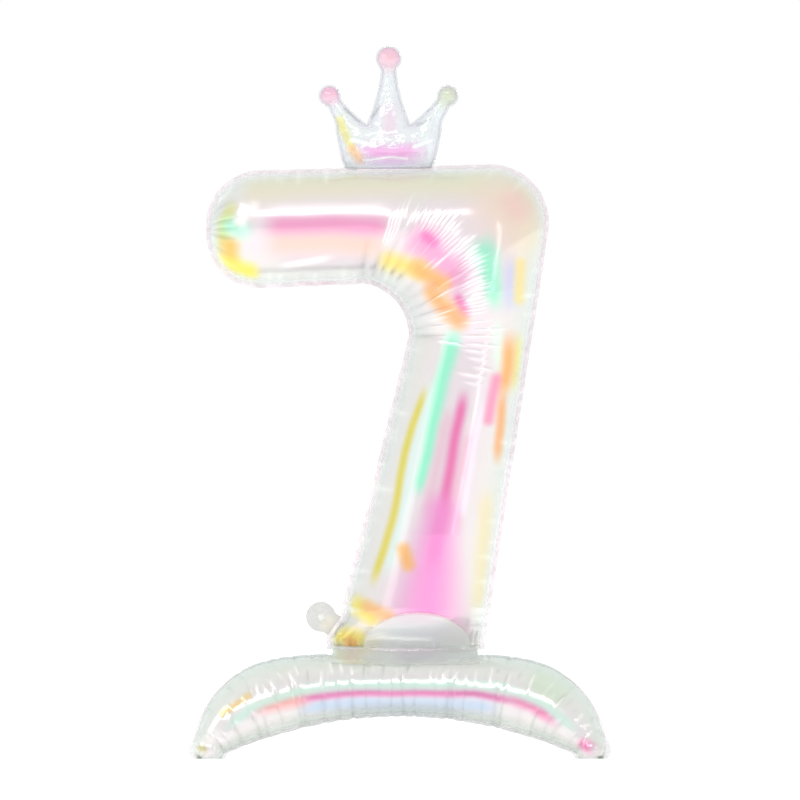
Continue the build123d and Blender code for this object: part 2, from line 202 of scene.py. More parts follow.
NUMERAL_PAINTED_SHEEN = (
    Streak("E8E3CF", 0.9, (14, 13), ((-180, 616), (-110, 623), (22, 627), (110, 623))),
    Streak("F2DFC9", 0.8, (33, 28), ((116, 604), (132, 576))),
    Streak("F0C6C6", 0.6, (13, 13), ((124, 606), (129, 598))),
    Streak("DDDD8E", 0.9, (5.5, 6.5), ((-178, 612), (-193, 582), (-195, 541))),
    Streak("F2BC62", 0.95, (9, 8), ((-186, 557), (-184, 539))),
    Streak("F6E25E", 0.95, (8, 8), ((-194, 539), (-163, 530))),
    Streak("B4F4DC", 0.95, (9, 9), ((-186, 579), (-173, 575))),
    Streak("DDD5E0", 0.9, (11, 11), ((-152, 541), (-55, 541), (-13, 532))),
    Streak("F2CFBE", 0.9, (11, 12), ((-158, 561), (-77, 562), (-6, 558))),
    Streak("EDA2C8", 1, (9, 10), ((-158, 580), (-77, 581), (0, 578))),
    # painted highlights: a white flash at the arm's end and a white strip along the arm
    Streak("FFFFFF", 1, (5.5, 5.5), ((-176, 585), (-160, 601))),
    Streak("FDFBFD", 1, (5.5, 5.5), ((-158, 597), (-77, 597), (-4, 598))),
    Streak("FCFCFE", 0.9, (3, 3), ((-143, 532), (-66, 546))),
    Streak("EE8F9E", 0.9, (1.5, 1.5), ((-121, 517), (-61, 517))),
    Streak("F0A4CC", 0.95, (16, 16), ((2, 576), (28, 560), (55, 530), (77, 499))),
    Streak("EE6FB4", 0.8, (5.5, 5.5), ((29, 568), (36, 562))),
    Streak("EE6FB4", 0.8, (4.5, 6.5), ((64, 499), (69, 486))),
    Streak("F6E07A", 0.95, (9, 9), ((-11, 541), (20, 532))),
    Streak("F6B464", 0.95, (9, 8), ((22, 532), (48, 516))),
    Streak("F6B070", 0.95, (9, 9), ((35, 506), (64, 475))),
    Streak("E0DAE4", 0.9, (10, 10), ((-16, 516), (11, 507), (25, 483), (26, 444))),
    Streak("93F4CF", 1, (14, 7), ((80, 570), (94, 546), (102, 512), (105, 478))),
    Streak("E0FAEC", 0.9, (5.5, 5.5), ((105, 486), (107, 411))),
    Streak("C6CCF2", 0.8, (6.5, 6.5), ((122, 554), (120, 477))),
    Streak("F6DC90", 0.8, (5.5, 5.5), ((132, 538), (131, 499))),
    Streak("F0E488", 0.8, (4.5, 4.5), ((131, 469), (125, 389))),
    Streak("FAAE6C", 0.95, (6.5, 6.5), ((121, 472), (117, 422), (110, 387))),
    Streak("F092BA", 0.9, (5.5, 5.5), ((105, 411), (97, 367))),
    Streak("E2E0E4", 0.8, (10, 10), ((11, 466), (-9, 367), (-33, 279), (-55, 180))),
    Streak("DDF6F2", 0.9, (6.5, 6.5), ((40, 422), (16, 334), (0, 257), (-16, 191))),
    Streak("DED35A", 0.95, (3.5, 4), ((30, 411), (6, 334), (-9, 257), (-31, 180))),
    Streak("8EFAD2", 1, (8, 4.5), ((62, 475), (46, 411), (31, 334), (16, 279))),
    Streak("E6C8D4", 0.8, (5.5, 6.5), ((57, 389), (42, 323), (24, 246))),
    Streak("EEC2D4", 0.8, (6.5, 7.5), ((82, 367), (64, 301), (53, 235))),
    # thin pink painted reflections along the stem's outline
    Streak("F0A0B4", 0.7, (1.6, 1.6), ((-16, 334), (-33, 268), (-50, 197))),
    Streak("F0A0B4", 0.7, (1.6, 1.6), ((119, 300), (99, 169))),
    Streak("EA78B2", 1, (5, 6), ((72, 406), (52, 301), (33, 197))),
    Streak("F2EEFC", 0.9, (3.3, 3.3), ((94, 406), (72, 290), (66, 257))),
    Streak("F6A878", 0.9, (4.5, 4.5), ((114, 411), (110, 356), (106, 312))),
    Streak("F0E0BE", 0.9, (7.5, 7.5), ((95, 301), (90, 213), (86, 147))),
    Streak("F092D4", 0.9, (10, 36), ((48, 300), (36, 205), (26, 120))),
    Streak("F6BA64", 0.9, (6.5, 6.5), ((4, 227), (9, 211))),
    Streak("F6DF62", 0.9, (9, 9), ((-47, 164), (-31, 153))),
    Streak("F6DF62", 0.9, (9, 9), ((-68, 130), (-48, 128))),
    Streak("F6AE62", 0.9, (5.5, 5.5), ((-56, 123), (-53, 122))),
    Streak("F6BC84", 0.9, (6.5, 6.5), ((-35, 163), (-13, 154))),
)
# Painted light on the feet: iridescent bands of painted reflection, a pale mint painted highlight along the crest
# and white painted glints.
BASE_PAINTED_SHEEN = (
    Streak("D4EBD4", 0.8, (13, 13), ((132, 90), (187, 57))),
    Streak("BAD8F0", 0.9, (7.5, 7.5), ((-121, 51), (-61, 57), (0, 58), (61, 57), (116, 51))),
    Streak("F6B4AC", 0.9, (6.5, 6.5), ((-167, 52), (-127, 61), (-86, 66))),
    Streak("F08CB8", 0.9, (5.5, 5.5), ((108, 68), (143, 57), (178, 35))),
    Streak("E27CB4", 0.9, (3.4, 3.4), ((-118, 62), (-60, 69), (9, 71), (80, 69), (130, 60))),
    # painted highlight along the feet's crest
    Streak(
        "D2FAEA", 0.9, (4.5, 4.5),
        ((-193, 29), (-160, 57), (-121, 70), (-77, 78), (55, 80), (110, 77), (160, 57), (198, 26)),
    ),
    # white painted glints near the tips
    Streak("FFFFFF", 0.9, (3.3, 3.3), ((-143, 31), (-110, 33))),
    Streak("FFFFFF", 0.9, (3.3, 3.3), ((110, 33), (143, 31))),
    Streak("F6D488", 0.8, (3.3, 3.3), ((-193, 48), (-165, 68))),
    Streak("FFFFFF", 0.9, (6.5, 6.5), ((-209, 18), (-198, 25))),
    Streak("C6C68A", 0.8, (3.3, 3.3), ((-215, 12), (-211, 11))),
    Streak("F082B4", 0.9, (5.5, 5.5), ((200, 16), (206, 13))),
    Streak("DCDCDE", 0.9, (6.5, 6.5), ((213, 10), (217, 9))),
)
# Painted light on the apron: pale tints of painted reflection.
APRON_PAINTED_SHEEN = (
    Streak("F6EED8", 0.6, (6, 6), ((-40, 118), (-28, 124))),
    Streak("E4DCE8", 0.6, (8, 8), ((-20, 112), (60, 112))),
    Streak("E0EEF4", 0.6, (12, 12), ((0, 138), (40, 138))),
)
# Painted light on the crown: tints of painted reflection, crisp white painted highlights and grey painted shade
# in the creases.
CROWN_PAINTED_SHEEN_AND_SHADE = (
    Streak("F2A6C2", 0.9, (13, 13), ((-12, 768), (-10, 768))),
    Streak("F29EC2", 0.9, (11, 11), ((-78, 727), (-76, 727))),
    Streak("C8C8AA", 0.9, (12, 12), ((53, 725), (55, 725))),
    Streak("EADC62", 0.9, (4.5, 3.3), ((-66, 695), (-53, 667))),
    Streak("F6B262", 0.9, (4.5, 4.5), ((-52, 664), (-44, 653))),
    Streak("E6DAF6", 0.9, (6.5, 6.5), ((-53, 648), (33, 648))),
    Streak("F08CDC", 0.95, (7.5, 7.5), ((-52, 665), (-12, 660), (37, 665))),
    Streak("F0CCE4", 0.8, (7, 8), ((-12, 722), (-10, 670))),
    # crisp white painted highlights on the crown's facets
    Streak("FFFFFF", 1, (2.2, 2.2), ((-53, 675), (-27, 668)), True),
    Streak("FFFFFF", 1, (2.2, 1.5), ((16, 667), (35, 674)), True),
    Streak("FFFFFF", 1, (1.2, 1.2), ((-40, 652), (-11, 656)), True),
    Streak("FFFFFF", 1, (1.2, 1.2), ((-11, 656), (8, 654)), True),
    # painted shade: grey marks in the creases near the valleys
    Streak("AEACB2", 0.8, (1.6, 1.2), ((-60, 708), (-44, 694))),
    Streak("AEACB2", 0.8, (1.6, 1.2), ((-30, 700), (-22, 712))),
    Streak("B8B6BC", 0.8, (1.6, 1.2), ((20, 692), (34, 698))),
)


# ---------------------------------------------------------------- finishes
class Sock:
    """A shader socket that does arithmetic."""

    def __init__(self, tree: bpy.types.NodeTree, socket: bpy.types.NodeSocket) -> None:
        """Wraps one output socket."""
        self.tree, self.socket = tree, socket

    def _maths(self, operation: str, first: "Sock | float", second: "Sock | float") -> "Sock":
        """One Math node on two values."""
        return node(self.tree, "ShaderNodeMath", {"operation": operation}, (first, second))

    def __add__(self, other: "Sock | float") -> "Sock":
        """Sum."""
        return self._maths("ADD", self, other)

    def __radd__(self, other: float) -> "Sock":
        """Sum, number first."""
        return self._maths("ADD", other, self)

    def __sub__(self, other: "Sock | float") -> "Sock":
        """Difference."""
        return self._maths("SUBTRACT", self, other)

    def __rsub__(self, other: float) -> "Sock":
        """Difference, number first."""
        return self._maths("SUBTRACT", other, self)

    def __rmul__(self, other: float) -> "Sock":
        """Product, number first."""
        return self._maths("MULTIPLY", other, self)


def node(
    tree: bpy.types.NodeTree, kind: str, settings: dict, values: Sequence | dict = (), output: str | int = 0
) -> Sock:
    """Adds a node.

    Args:
        tree: the node tree.
        kind: node type.
        settings: properties to set first.
        values: what goes into each input, in order, or a dict by input name: a value or a Sock.
        output: which output to return.

    Returns:
        That output.
    """
    made = tree.nodes.new(kind)
    for name, value in settings.items():
        setattr(made, name, value)
    for key, value in values.items() if isinstance(values, dict) else enumerate(values):
        if isinstance(value, Sock):
            tree.links.new(value.socket, made.inputs[key])
        else:
            made.inputs[key].default_value = value
    return Sock(tree, made.outputs[output])


@dataclass(frozen=True)
class FilmFinish:
    """A thin iridescent film: pearly colours, with painted reflections, highlights and shade, from a colour
    attribute; glossy and see-through.

    Args:
        name: material name.
        alpha: how opaque it is.
        roughness: roughness of its gloss.
        metallic: how much of the light it mirrors in its own colour.
        thin_film: thickness of the interference layer, in nm.
        crinkle: strength of the fine crinkles in the bump.
        edge_clearness: how much clearer it gets towards the weld.
    """

    name: str
    alpha: float
    roughness: float = 0.16
    metallic: float = 0.3
    thin_film: float = 420.0
    crinkle: float = 0.15
    edge_clearness: float = 0.5

    def material(self) -> bpy.types.Material:
        """Makes the material, or returns the one already made."""
        if self.name in bpy.data.materials:
            return bpy.data.materials[self.name]
        made = bpy.data.materials.new(self.name)
        made.use_nodes = True
        tree = made.node_tree
        shader = tree.nodes["Principled BSDF"]
        shader.inputs["Metallic"].default_value = self.metallic
        shader.inputs["IOR"].default_value = 1.5
        shader.inputs["Thin Film Thickness"].default_value = self.thin_film
        shader.inputs["Thin Film IOR"].default_value = 1.8
        # the base colour carries the painted reflections, highlights and shade
        colour = node(tree, "ShaderNodeVertexColor", {"layer_name": "film_colour_and_painted_light"})
        tree.links.new(colour.socket, shader.inputs["Base Color"])
        weld = node(tree, "ShaderNodeAttribute", {"attribute_name": "rim"}, output="Fac")
        alpha = self.alpha * (1 - self.edge_clearness * weld)
        tree.links.new(alpha.socket, shader.inputs["Alpha"])
        place = node(tree, "ShaderNodeTexCoord", {}, output="Object")
        fine = node(tree, "ShaderNodeTexNoise", {}, {"Vector": place, "Scale": 160.0, "Detail": 2.0})
        rough = self.roughness + 0.08 * (fine - 0.5)
        tree.links.new(rough.socket, shader.inputs["Roughness"])
        cells = {"Vector": place, "Scale": 45.0, "Smoothness": 0.6}
        height = node(tree, "ShaderNodeTexVoronoi", {"feature": "SMOOTH_F1"}, cells) + 0.3 * fine
        relief = {"Strength": self.crinkle, "Distance": MM, "Height": height}
        bump = node(tree, "ShaderNodeBump", {}, relief, output="Normal")
        tree.links.new(bump.socket, shader.inputs["Normal"])
        return made


@dataclass(frozen=True)
class PlainFinish:
    """A plain matt surface for the studio."""

    name: str
    colour: str
    roughness: float = 0.9
    glow: float = 0.0

    def material(self) -> bpy.types.Material:
        """Makes the material."""
        made = bpy.data.materials.new(self.name)
        made.use_nodes = True
        shader = made.node_tree.nodes["Principled BSDF"]
        shader.inputs["Base Color"].default_value = (*linear(rgb(self.colour)), 1)
        shader.inputs["Roughness"].default_value = self.roughness
        shader.inputs["Emission Color"].default_value = (1, 1, 1, 1)
        shader.inputs["Emission Strength"].default_value = self.glow
        return made


PEARL = FilmFinish("pearl_film", 0.86)
BASE_PEARL = FilmFinish("base_pearl_film", 0.84)
APRON_PEARL = FilmFinish("apron_film", 0.7)
CROWN_CLEAR = FilmFinish("crown_clear_film", 0.45, 0.1, 0.25, 360, edge_clearness=0)
SEAL_CLEAR = FilmFinish("seal_clear_film", 0.72, 0.2, 0.1, 0, edge_clearness=0)


# ---------------------------------------------------------------- outlines and ribs
class Outline:
    """A closed line in the weld plane, as many short straight pieces."""

    def __init__(self, points: np.ndarray) -> None:
        """Keeps the points, an (n, 2) array in mm."""
        self.points = points

    @classmethod
    def rounded(cls, corners: Sequence[Corner], steps: int = 48) -> "Outline":
        """A polygon with rounded corners.

        Args:
            corners: (x, z, radius) of each corner.
            steps: points on each rounded corner.

        Returns:
            The outline.
        """
        places = [np.array(corner[:2], float) for corner in corners]
        points: list[np.ndarray] = []
        for index, (place, corner) in enumerate(zip(places, corners)):
            back = places[index - 1] - place
            on = places[(index + 1) % len(places)] - place
            back, on = back / np.linalg.norm(back), on / np.linalg.norm(on)
            if not corner[2]:
                points.append(place)
                continue
            half = math.acos(float(np.clip(back @ on, -1, 1))) / 2
            bisector = (back + on) / np.linalg.norm(back + on)
            centre = place + bisector * corner[2] / math.sin(half)
            foot = corner[2] / math.tan(half)
            first, last = place + back * foot - centre, place + on * foot - centre
            start = math.atan2(first[1], first[0])
            turn = (math.atan2(last[1], last[0]) - start + math.pi) % math.tau - math.pi
            for step in range(steps + 1):
                angle = start + turn * step / steps
                points.append(centre + corner[2] * np.array([math.cos(angle), math.sin(angle)]))
        return cls(np.array(points))

    def spans(self, starts: np.ndarray, headings: np.ndarray) -> tuple[np.ndarray, np.ndarray]:
        """Where lines first enter and then leave the outline.

        Args:
            starts: (n, 2) start of each line, outside the outline.
            headings: (n,) radians above +X.

        Returns:
            Distances from each start to the near and the far crossing.
        """
        first = self.points
        edge = np.roll(first, -1, axis=0) - first
        near, far = np.empty(len(starts)), np.empty(len(starts))
        for index, (start, heading) in enumerate(zip(starts, headings)):
            way = np.array([math.cos(heading), math.sin(heading)])
            cross = way[0] * edge[:, 1] - way[1] * edge[:, 0]
            cross = np.where(np.abs(cross) < 1e-12, 1e-12, cross)
            gap = first - start
            reach = (gap[:, 0] * edge[:, 1] - gap[:, 1] * edge[:, 0]) / cross
            share = (gap[:, 0] * way[1] - gap[:, 1] * way[0]) / cross
            hits = np.sort(reach[(share >= 0) & (share < 1) & (reach > 0)])
            near[index], far[index] = hits[0], hits[1]
        return near, far


@dataclass(frozen=True)
class Crease:
    """A ridge or valley pressed into a film.

    Args:
        station: place along the chamber of its middle.
        across: place across the chamber of its middle, from 0 to 1.
        reach: half its length, in stations if it runs along and as a share if it runs across.
        height: outwards if positive, in mm.
        width: half its width, in mm.
        runs: which way it runs.
        slant: stations that it shifts from one edge of the chamber to the other.
    """

    station: float
    across: float
    reach: float
    height: float
    width: float
    runs: Runs = Runs.ACROSS
    slant: float = 0.0


class Film:
    """A film as a grid: rows at stations along the chamber, columns across it.

    Args:
        outline: the weld's outline.
        stations: one number for each row, rising along the chamber.
        starts: (n, 2) start of each row's line, in mm.
        headings: heading of each row's line, in degrees above +X.
        depth_of: half depth from half width and middle height, as arrays.
        columns: columns across.
    """

    def __init__(
        self,
        outline: Outline,
        stations: np.ndarray,
        starts: np.ndarray,
        headings: np.ndarray,
        depth_of: Callable[[np.ndarray, np.ndarray], np.ndarray],
        columns: int,
    ) -> None:
        """Works out the smooth film."""
        turned = np.radians(headings)
        near, far = outline.spans(starts, turned)
        way = np.stack([np.cos(turned), np.sin(turned)], axis=1)
        middle = starts + way * ((near + far) / 2)[:, None]
        half_width = (far - near) / 2
        half_depth = depth_of(half_width, middle[:, 1])
        angle = np.linspace(0, math.pi, columns)
        offset = -np.cos(angle)[None, :] * half_width[:, None]
        self.stations, self.across = stations, (1 - np.cos(angle)) / 2
        self.points = np.empty((len(stations), columns, 3))
        self.points[:, :, 0] = middle[:, None, 0] + way[:, None, 0] * offset
        self.points[:, :, 2] = middle[:, None, 1] + way[:, None, 1] * offset
        self.points[:, :, 1] = -np.sin(angle)[None, :] * half_depth[:, None]
        self.half_width = half_width
        self.swell = np.zeros(self.points.shape[:2])
        rows = np.gradient(self.points, axis=0)
        self.stretch = np.linalg.norm(rows, axis=2) / np.gradient(stations)[:, None]
        normal = np.cross(rows, np.gradient(self.points, axis=1))
        length = np.linalg.norm(normal, axis=2, keepdims=True)
        self.normal = normal / np.maximum(length, 1e-9)
        self.normal *= np.where(self.normal[:, :, 1:2] > 0, -1, 1)

    def press(self, creases: Sequence[Crease]) -> None:
        """Adds creases to the film's relief."""
        wide = 2 * self.half_width[:, None] * np.ones_like(self.across)[None, :]
        for crease in creases:
            if crease.runs is Runs.ACROSS:
                shift = crease.station + crease.slant * (self.across - crease.across)
                off = (self.stations[:, None] - shift[None, :]) * self.stretch
                reach = (self.across[None, :] - crease.across) / crease.reach
            else:
                off = (self.across[None, :] - crease.across) * wide
                off = off + crease.slant * (self.stations[:, None] - crease.station) * 10
                reach = (self.stations[:, None] - crease.station) / crease.reach
            ridge = np.exp(1 - np.sqrt(1 + 4 * (off / crease.width) ** 2))
            self.swell += crease.height * ridge * np.clip(1 - reach**2, 0, 1) ** 1.5

    def sheet(self, side: Side, rim_width: float = 9.0) -> bmesh.types.BMesh:
        """Makes the film's shape, with its nearness to the weld as rim and its creases as relief; the paint turns
        these into painted edge shading and painted highlight and shade on the creases.

        Args:
            side: front or back film.
            rim_width: width of the band along the weld that gets painted edge shading and a clearer alpha, in mm.

        Returns:
            The film, in metres.
        """
        rows, columns = self.points.shape[:2]
        places = self.points + self.normal * self.swell[:, :, None]
        places[:, :, 1] = np.minimum(places[:, :, 1], 0) * -side.value
        nearest = np.minimum(self.across, 1 - self.across)[None, :] * 2 * self.half_width[:, None]
        values = np.dstack([places * MM, 1 - smooth(0, rim_width, nearest), self.swell])
        work = bmesh.new()
        bmesh.ops.create_grid(work, x_segments=columns - 1, y_segments=rows - 1, size=0.5)
        rim, relief = work.verts.layers.float.new("rim"), work.verts.layers.float.new("relief")
        for vert in work.verts:
            row, column = round((vert.co.y + 0.5) * (rows - 1)), round((vert.co.x + 0.5) * (columns - 1))
            x, y, z, vert[rim], vert[relief] = values[row, column].tolist()
            vert.co = x, y, z
        return work


def add_lip(work: bmesh.types.BMesh, width: float, foot: float = -math.inf, evening: int = 1) -> None:
    """Turns a film's free edge outwards into the flat weld lip.

    Args:
        work: the film, with its weld in the plane Y = 0.
        width: lip width in mm.
        foot: the height, in mm, under which the free edge isn't welded.
        evening: how many times the lip's direction is evened out along the weld.
    """
    rim = [edge for edge in work.edges if edge.is_boundary and max(vert.co.z for vert in edge.verts) > foot * MM]
    outward: dict[bmesh.types.BMVert, Vector] = {}
    for edge in rim:
        face = edge.link_faces[0]
        along = edge.verts[1].co - edge.verts[0].co
        out = Vector((along.z, 0, -along.x)).normalized()
        inward = face.calc_center_median() - (edge.verts[0].co + edge.verts[1].co) / 2
        out *= -1 if out.dot(inward) > 0 else 1
        for vert in edge.verts:
            outward[vert] = outward.get(vert, Vector()) + out
    for _ in range(evening):
        evened = {}
        for vert, way in outward.items():
            beside = (outward.get(edge.other_vert(vert), Vector()) for edge in vert.link_edges)
            evened[vert] = way.normalized() + sum(beside, Vector())
        outward = evened
    root = {vert: (vert.co.copy(), way.normalized()) for vert, way in outward.items()}
    for share in (0.12, 0.55, 1.0):
        made = bmesh.ops.extrude_edge_only(work, edges=rim)["geom"]
        fresh = {}
        for vert in (item for item in made if isinstance(item, bmesh.types.BMVert)):
            old = next(link.other_vert(vert) for link in vert.link_edges if link.other_vert(vert) in root)
            place, way = root[old]
            vert.co = place + way * width * MM * share * (1 + 0.1 * noise.noise(place * 90))
            vert.co.y = 0.8 * MM * share * noise.noise(place * 140)
            fresh[vert] = (place, way)
        root = fresh
        edges = (item for item in made if isinstance(item, bmesh.types.BMEdge))
        rim = [edge for edge in edges if all(vert in fresh for vert in edge.verts)]


def face_out(work: bmesh.types.BMesh, side: Side) -> None:
    """Turns the faces of a film to its own side."""
    bmesh.ops.recalc_face_normals(work, faces=work.faces)
    if sum(face.normal.y for face in work.faces) * side.value < 0:
        bmesh.ops.reverse_faces(work, faces=work.faces)


def mesh_of(work: bmesh.types.BMesh, name: str) -> bpy.types.Mesh:
    """Makes a mesh of a bmesh, which it frees."""
    mesh = bpy.data.meshes.new(name)
    work.to_mesh(mesh)
    work.free()
    return mesh


def placed(name: str, data: bpy.types.ID) -> bpy.types.Object:
    """Puts a mesh, a lamp or a camera in the scene as an object."""
    made = bpy.data.objects.new(name, data)
    bpy.context.scene.collection.objects.link(made)
    return made


def finished(
    name: str, work: bmesh.types.BMesh, paint: Paint, finish: FilmFinish
) -> bpy.types.Object:
    """Makes a piece of a bmesh: smooth and painted, with its finish.

    Args:
        name: piece name.
        work: its shape, facing outwards, which is freed.
        paint: its colours.
        finish: its material.

    Returns:
        The object, in the scene.
    """
    mesh = mesh_of(work, name)
    mesh.shade_smooth()
    paint.apply(mesh)
    mesh.materials.append(finish.material())
    made = placed(name, mesh)
    log.info("%s: %d faces", name, len(mesh.polygons))
    return made


Spread = tuple[float, float]


def drawn(chance: random.Random, spread: Spread) -> float:
    """A random number from a range, or its only value without a draw."""
    return chance.uniform(*spread) if spread[0] != spread[1] else spread[0]


@dataclass(frozen=True)
class Wrinkles:
    """A row of uneven creases, each value drawn from its range.

    Args:
        first: place of the first: a station, or a place across for creases that run along.
        step: from one place to the next.
        count: how many.
        shift: how far each is off its place.
        other: the crease's other place: across, or a station for creases that run along.
        reach: as for a crease.
        height: as for a crease.
        width: as for a crease.
        slant: as for a crease.
        runs: which way they run.
    """

    first: float
    step: float
    count: int
    shift: Spread
    other: Spread
    reach: Spread
    height: Spread
    width: Spread
    slant: Spread
    runs: Runs = Runs.ACROSS

    def creases(self, chance: random.Random) -> list[Crease]:
        """The row, drawn with these random numbers."""
        found = []
        for index in range(self.count):
            places = [self.first + self.step * index + drawn(chance, self.shift), drawn(chance, self.other)]
            if self.runs is Runs.ALONG:
                places.reverse()
            sizes = [drawn(chance, spread) for spread in (self.reach, self.height, self.width)]
            found.append(Crease(*places, *sizes, self.runs, drawn(chance, self.slant)))
        return found


def edge_puckers(
    chance: random.Random, first: float, last: float, count: int, edge: float, height: float
) -> list[Crease]:
    """Small uneven puckers along one edge of a chamber.

    Args:
        chance: random numbers.
        first: first station.
        last: last station.
        count: how many.
        edge: 0 for the near edge, 1 for the far edge.
        height: mean height in mm.

    Returns:
        The creases.
    """
    found = []
    for index in range(count):
        station = first + (last - first) * (index + chance.uniform(0.15, 0.85)) / count
        reach = chance.uniform(0.06, 0.17)
        rise = height * chance.uniform(0.5, 1.4) * chance.choice((1, 1, -1))
        width, slant = chance.uniform(2.0, 4.2), chance.uniform(-0.02, 0.02)
        found.append(Crease(station, edge, reach, rise, width, slant=slant))
    return found


EVEN = (0.0, 0.0)
NUMERAL_WRINKLES = (
    Wrinkles(2.84, 0.034, 9, (-0.006, 0.006), (0.52, 0.66), (0.1, 0.2), (0.5, 1.0), (1.2, 1.2), EVEN),
    Wrinkles(2.3, 0.05, 14, (-0.015, 0.015), (0.2, 0.38), (0.08, 0.16), (0.3, 0.8), (1.0, 1.8), (-0.06, 0.06)),
    Wrinkles(0, 0.05, 20, (0.005, 0.045), (5, 5), (0.4, 0.95), (-2.2, -0.9), (1.6, 3.2), (-0.6, 0.6), Runs.ALONG),
    Wrinkles(4.25, 0.1, 7, EVEN, (0.2, 0.8), (0.12, 0.3), (-1.6, 1.4), (1.8, 1.8), (-0.2, 0.2)),
    Wrinkles(0.1, 0.1, 9, EVEN, (0.45, 0.45), (0.2, 0.36), (-2.2, 1.0), (2, 4), (-0.4, 0.4), Runs.ALONG),
)
FOOT_WRINKLES = (
    Wrinkles(-1.05, 0.07, 30, (0.007, 0.063), (0, 0.12), (0.2, 0.5), (-1.7, -0.5), (1.6, 3.6), (-0.03, 0.03)),
    Wrinkles(-1.05, 0.07, 30, (0.007, 0.063), (0.88, 1), (0.15, 0.4), (-1.6, -0.4), (1.6, 3.4), (-0.03, 0.03)),
    Wrinkles(-1, 0.03125, 64, (0, 0.03125), (0.42, 0.62), (0.05, 0.2), (-1.5, 2), (0.8, 1.8), (-0.08, 0.08)),
    Wrinkles(0.15, 0.12, 7, EVEN, (-2, -2), (0.5, 0.95), (-1.6, -0.6), (1.2, 2.2), (-0.5, 0.5), Runs.ALONG),
    Wrinkles(0.15, 0.12, 7, EVEN, (2, 2), (0.5, 0.95), (-1.6, -0.6), (1.2, 2.2), (-0.5, 0.5), Runs.ALONG),
)


# ---------------------------------------------------------------- numeral
@dataclass(frozen=True)
class NumeralSize:
    """Sizes of the numeral in mm."""

    neck: float = 115.0
    foot: float = 103.0
    arm_reach: float = 209.0
    arm_end_radius: float = 56.0
    arm_low: float = 514.0
    arm_high: float = 636.0
    corner: Point = (169.9, 646.0)
    stem_low: Point = (-62.5, 150.0)
    stem_low_radius: float = 15.0
    stem_notch: Point = (-77.5, 128.0)
    neck_right: float = 88.5
    foot_right: float = 86.66
    right_lean: float = 0.1533
    stem_lean: float = 10.715
    bend: Point = (30.17, 524.0)
    bend_radius: float = 60.0
    roundness: float = 0.93
    depth: float = 68.0
    neck_depth: float = 28.0
    neck_rise: float = 48.0
    neck_x: float = 5.5
    gusset_reach: float = 83.0
    fold_strip: tuple[float, float, float] = (150.0, 0.8, 6.0)
    fold_place: float = 10.3
    lip: float = 4.0

    def corners(self) -> tuple[Corner, ...]:
        """The outline's corners."""
        return (
            (-self.arm_reach, self.arm_low, self.arm_end_radius),
            (-self.arm_reach, self.arm_high, self.arm_end_radius),
            (*self.corner, self.bend_radius),
            (self.foot_right, self.foot, 0),
            (self.stem_notch[0], self.foot, 0),
            (*self.stem_notch, 0),
            (*self.stem_low, self.stem_low_radius),
            (*self.bend, self.bend_radius),
        )


